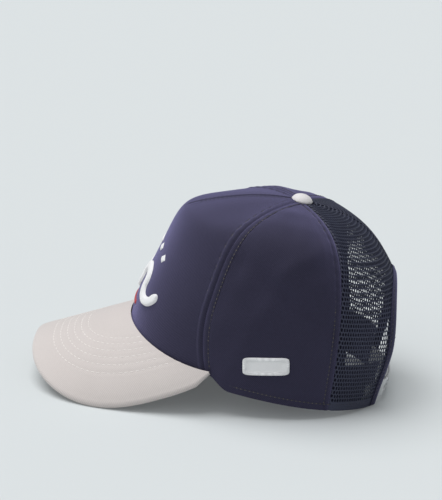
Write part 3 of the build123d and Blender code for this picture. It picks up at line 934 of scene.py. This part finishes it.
def stitch_mesh(paths, pitch, length, radius):
    """Loops of thread along paths, each a list of places with the cloth's normal there, and after
    each a flat dark disc: painted shade for the dimple where the thread sinks in.
    """
    points = []
    faces = []
    shade_discs = []
    for path in paths:
        run = 0.0
        due = pitch / 2
        for (one, one_out), (two, two_out) in zip(path, path[1:]):
            step = (two - one).length
            while step > 0 and due <= run + step:
                share = (due - run) / step
                middle = one.lerp(two, share)
                out = one_out.lerp(two_out, share).normalized()
                ahead = (two - one).normalized()
                aside = out.cross(ahead)
                first = len(points)
                points.append(middle - ahead * length / 2 - out * radius)
                for place in (-0.3, 0.3):
                    for turn in range(6):
                        spin = math.tau * turn / 6
                        points.append(middle + ahead * length * place + out * radius * (0.35 + math.cos(spin))
                                      + aside * radius * math.sin(spin))
                points.append(middle + ahead * length / 2 - out * radius)
                for turn in range(6):
                    follow = (turn + 1) % 6
                    faces.append((first, first + 1 + follow, first + 1 + turn))
                    faces.append((first + 1 + turn, first + 1 + follow, first + 7 + follow, first + 7 + turn))
                    faces.append((first + 7 + turn, first + 7 + follow, first + 13))
                    # flat dark disc lying just off the cloth after the stitch: painted shade, not a real hole
                    spin = math.tau * turn / 6
                    points.append(middle + ahead * (pitch / 2 + math.cos(spin) * radius * 2.4)
                                  + aside * math.sin(spin) * radius * 2.0 + out * 0.05)
                shade_discs.append(len(faces))
                faces.append(tuple(first + 14 + turn for turn in range(6)))
                due += pitch
            run += step
    return points, faces, shade_discs


def sew(name, paths, material, slot, pitch=3.1, length=2.5, radius=0.24):
    points, faces, shade_discs = stitch_mesh(paths, pitch, length, radius)
    piece = make_piece(name, points, faces)
    # the second material is painted shade on the discs between stitches
    for thread in (material, stitch_dimple_shade):
        piece.data.materials.append(thread)
    for hole in shade_discs:
        piece.data.polygons[hole].material_index = 1
    finish_mesh(piece)


def beside(seam, offset, foot_lift, top_radius, out=0.0):
    """Row up the wall at a distance to the side of a seam."""
    path = []
    middle = seam(0)
    foot = foot_of(middle, foot_lift)
    top = share_at(middle, top_radius, 0)
    for i in range(61):
        share = foot + (top - foot) * i / 60
        radius, height, _ = meridian(middle, share)
        angle = seam(height) + math.degrees(offset / radius)
        path.append(wall(angle, share, out))
    return path


def along_hem(start, end, lift):
    return [wall(angle, foot_of(angle, lift), -0.15)
            for angle in (start + (end - start) * i / 60 for i in range(61))]


navy_thread = plain_finish("navy_thread", (0.012, 0.012, 0.024), (0.036, 0.035, 0.062), 0.5, 300.0,
                           0.00005)
stone_thread = plain_finish("stone_thread", (0.64, 0.60, 0.57), (0.80, 0.77, 0.74), 0.55,
                            300.0, 0.00005)
# near-black discs between stitches: painted shade for the dimples where the thread sinks in
stitch_dimple_shade = plain_finish("stitch_dimple_shade", (0.010, 0.010, 0.012), (0.16, 0.14, 0.13), 0.8, 200.0, 0.00002)
seam_rows = []
hem_rows = []
for side in (1, -1):
    turned = (lambda seam: seam) if side == 1 else mirrored
    for offset in (-STITCH_GAP, STITCH_GAP):
        seam_rows.append(beside(turned(front_seam), side * offset, 3.0, 10.0, -0.1))
    seam_rows.append(beside(turned(back_seam), -side * (STITCH_GAP + 0.6), 3.0, 10.0, -0.1))
    seam_rows.append(beside(still(0.0), side * 2.6, 0.0, 9.0, 0.15)[40:])
    hem_rows.append(along_hem(side * (FRONT_SEAM_FOOT + 3), side * 154.0, HEM_ROW))
sew("crown_seam_stitches", seam_rows, navy_thread, "navy_twill")
sew("hem_stitches", hem_rows, navy_thread, "navy_twill")
sew("binding_stitches", [binding_row], navy_thread, "navy_tape")

visor_rows = {1: [], -1: []}
for k in range(ROW_COUNT):
    for side in (1, -1):
        path = []
        for i in range(ROW_STEPS + 1):
            angle = -FRONT_SEAM_FOOT + 2 * FRONT_SEAM_FOOT * i / ROW_STEPS
            plan = visor_edge(angle, FIRST_ROW + ROW_SPACING * k)
            root = outline_radius(math.degrees(math.atan2(plan.x, -plan.y)))
            if plan.length > root + 2.0:
                place, normal = on_visor(plan, side * (TOP_RISE + THREAD_LIFT))
                path.append((place, normal * side))
        visor_rows[side].append(path)
sew("visor_top_stitches", visor_rows[1], stone_thread, "stone_twill", **VISOR_STITCH)
sew("visor_under_stitches", visor_rows[-1], stone_thread, "stone_twill", **VISOR_STITCH)

# ---- Button ------------------------------------------------------------------------------------
# A pressed metal shell and its stud, covered with off-white cotton gathered under the rim.
BUTTON_HEIGHT = 5.0
BUTTON_TURNS = 48
BUTTON_RINGS = [(0.0, 5.0), (1.6, 4.88), (3.2, 4.5), (4.8, 3.85), (6.0, 3.05), (6.9, 2.15), (7.5, 1.25),
                (7.75, 0.6), (7.6, 0.12), (7.0, 0.02)]
button_foot = CROWN_HEIGHT + LAYER_GAP
button_points = [Vector((0, 0, button_foot + BUTTON_HEIGHT))]
button_uvs = [(0.0, 0.0)]
for reach, rise in BUTTON_RINGS[1:]:
    for i in range(BUTTON_TURNS):
        turn = math.tau * i / BUTTON_TURNS
        pleat = 0.12 * math.cos(turn * 12) * smooth(reach, 5.0, 7.7) + 0.05 * math.cos(turn * 5 + 1)
        radius = reach + pleat * (0.3 if reach < 4 else 1.0)
        button_points.append(Vector((radius * math.sin(turn), -radius * math.cos(turn),
                                     button_foot + rise - 0.2 * pleat)))
        button_uvs.append((reach * math.sin(turn), reach * math.cos(turn)))
button_faces = [(0, 1 + i, 1 + (i + 1) % BUTTON_TURNS) for i in range(BUTTON_TURNS)]
for face in grid_faces(len(BUTTON_RINGS) - 1, BUTTON_TURNS, close=True):
    button_faces.append(tuple(1 + corner for corner in face[::-1]))
button_cover = make_piece("button_cover_cloth", button_points, button_faces, button_uvs)
finish_mesh(button_cover, 0.5)
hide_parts("button_cover")
off_white = twill_finish("button_cotton", (0.55, 0.53, 0.53), (0.80, 0.78, 0.78), 0.7, 40, 0.3, 0.0001)
declare_sheet(button_cover, off_white)
button_metal = plain_finish("button_metal", (0.30, 0.30, 0.31), (0.48, 0.48, 0.49), 0.3, 90.0,
                            0.00004, Metallic=0.95)
for node in ("button_shell", "button_stud"):
    dress(node, button_metal)

# ---- Snap closure ------------------------------------------------------------------------------
# Two moulded plastic straps on thin hinges at the corners of the rear opening: the left one has
# the holes, the right one the pegs. Their sewn ends sit inside the crown, at the sweatband's ends.
strap_plastic = plain_finish("strap_plastic", (0.62, 0.63, 0.64), (0.72, 0.73, 0.74), 0.28, 70.0,
                             0.00003, Coat_Weight=0.15)
for node in ("snap_strap_outer", "snap_strap_inner", "snap_tab_outer", "snap_tab_inner"):
    dress(node, strap_plastic)

# ---- Raised decoration on the front ------------------------------------------------------------
# Satin embroidery: a wave over foam in off-white, five small squares on their corners above it, and
# a thin red bar below. Threads lie across each shape.
def satin_finish(name, dark, light):
    finish = Finish(name, Sheen_Weight=0.2, Specular_IOR_Level=0.45)
    fuzz = finish.clouds(700.0, 2.0)
    thread = wave_of(finish.cloth(0) + fuzz * 0.12, 0.5)
    finish.feed("Base Color", finish.mix(thread * 0.7 + fuzz * 0.3, dark, light))
    finish.feed("Roughness", fuzz * 0.2 + 0.4)
    finish.bump(thread, 0.6, 0.00015)
    return finish.material


def front_place(aside, height, out):
    """Point on the front of the wall, at a distance aside and a height."""
    angle = 0.0
    for _ in range(4):
        share = share_at(angle, height, 1)
        angle = math.degrees(math.asin(max(min(aside / meridian(angle, share)[0], 1), -1)))
    return wall(angle, share, out)


def satin(name, node, material, place, walk, puff, across=10):
    """Padded stitching along a walk of (x, z, half width), domed across, with its back closed."""
    points = []
    uvs = []
    run = 0.0
    count = 2 * across
    for i, (x, z, half) in enumerate(walk):
        last = walk[max(i - 1, 0)]
        following = walk[min(i + 1, len(walk) - 1)]
        ahead = Vector((following[0] - last[0], following[1] - last[1])).normalized()
        run += math.hypot(x - last[0], z - last[1])
        jag = 0.07 * math.sin(run * math.tau / 0.9)
        for j in range(count):
            over = j <= across
            share = 2 * j / across - 1 if over else 3 - 2 * j / across
            width = (half + jag) * share
            dome = puff * (1 - abs(share) ** 3.2) ** 0.55 if over else 0.0
            point, _ = place(x - ahead.y * width, z + ahead.x * width, 0.05 + dome * min(half / 1.5, 1.0))
            points.append(point)
            uvs.append((run, width))
    faces = grid_faces(len(walk), count, close=True)
    faces.append(tuple(range(count))[::-1])
    faces.append(tuple((len(walk) - 1) * count + i for i in range(count)))
    piece = make_piece(name, points, faces, uvs)
    finish_mesh(piece, outwards=True)
    piece.data.materials.append(material)
    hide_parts(node)


WAVE_RADIUS = 10.0
WAVE_WIDTH = 7.0
WAVE_HEIGHT = 45.0
wave_walk = []
for k in range(4):
    for i in range(0 if k == 0 else 1, 37):
        turn = math.pi * (1 - i / 36)
        rise = math.sin(turn) * WAVE_RADIUS * (1 if k % 2 == 0 else -1)
        wave_walk.append(((k - 1.5) * 2 * WAVE_RADIUS + math.cos(turn) * WAVE_RADIUS, WAVE_HEIGHT + rise))
ends = len(wave_walk) - 1
wave_walk = [(x, z, WAVE_WIDTH / 2 * min(math.sqrt((min(i, ends - i) + 0.15) / 4), 1.0))
             for i, (x, z) in enumerate(wave_walk)]
white_satin = satin_finish("white_satin", (0.70, 0.70, 0.71), (0.90, 0.90, 0.90))
red_satin = satin_finish("red_satin", (0.30, 0.012, 0.02), (0.50, 0.03, 0.04))
satin("front_emblem_wave_satin", "front_emblem_wave", white_satin, front_place,
      wave_walk, 2.1)
for k in range(5):
    middle = (k - 2) * 13.0
    height = 74.0 - 6.0 * ((k - 2) / 2) ** 2
    mark_walk = [(middle + 0.35 * i, height, max(3.5 - abs(0.35 * i), 0.08)) for i in range(-10, 11)]
    satin(f"front_emblem_mark_{k + 1}_satin", f"front_emblem_mark_{k + 1}", white_satin,
          front_place, mark_walk, 0.85, across=6)
bar_walk = [(0.5 * i, 26.0, 1.75 * min(math.sqrt((30 - abs(i) + 0.1) / 3), 1.0)) for i in range(-30, 31)]
satin("front_emblem_bar_satin", "front_emblem_bar", red_satin, front_place, bar_walk, 0.85,
      across=6)

# ---- Side patch --------------------------------------------------------------------------------
# Small woven label on the left side panel, with a satin border, sewn on level with the floor.
PATCH_TILT = math.radians(13.5)
PATCH_LENGTH = 33.0
PATCH_WIDTH = 13.0
PATCH_HEIGHT = 26.0
PATCH_TURNS = 140


def patch_place(along, up, out):
    """Point on the left side panel, from lengths along the patch and up it."""
    y = along * math.cos(PATCH_TILT) - up * math.sin(PATCH_TILT)
    height = PATCH_HEIGHT + along * math.sin(PATCH_TILT) + up * math.cos(PATCH_TILT)
    angle = 90.0
    for _ in range(4):
        share = share_at(angle, height, 1)
        angle = 90 + math.degrees(math.asin(y / meridian(angle, share)[0]))
    return wall(angle, share, out + 0.1)


def rounded(turn):
    """Point of the patch's rounded outline at a turn, as shares of its half sizes."""
    return [math.copysign(abs(value) ** 0.28, value) for value in (math.cos(turn), math.sin(turn))]


patch_points = []
patch_uvs = []
PATCH_RINGS = [(1.0, 0.0), (1.0, 0.75), (0.965, 1.05), (0.915, 1.1), (0.865, 0.95), (0.84, 0.62),
               (0.6, 0.64), (0.3, 0.64), (0.02, 0.64)]
for share, out in PATCH_RINGS:
    for i in range(PATCH_TURNS):
        turn = math.tau * i / PATCH_TURNS
        across, up = rounded(turn)
        inwards = (1 - share) * PATCH_LENGTH / 2
        x = across * (PATCH_LENGTH / 2 - inwards) if share > 0.8 else across * PATCH_LENGTH / 2 * share
        z = up * (PATCH_WIDTH / 2 - inwards) if share > 0.8 else up * (PATCH_WIDTH / 2 - 2.6) * share / 0.84
        point, _ = patch_place(x, z, out + (0.05 * math.sin(turn * 70) if out > 0.7 else 0.0))
        patch_points.append(point)
        patch_uvs.append((i * 0.66, share * 6) if share > 0.85 else (x, z))
patch_faces = grid_faces(len(PATCH_RINGS), PATCH_TURNS, close=True)
patch_faces.append(tuple((len(PATCH_RINGS) - 1) * PATCH_TURNS + i for i in range(PATCH_TURNS)))
patch_faces.append(tuple(range(PATCH_TURNS))[::-1])
side_patch = make_piece("side_patch_satin", patch_points, patch_faces, patch_uvs)
finish_mesh(side_patch)
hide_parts("side_patch")
declare_sheet(side_patch, white_satin)
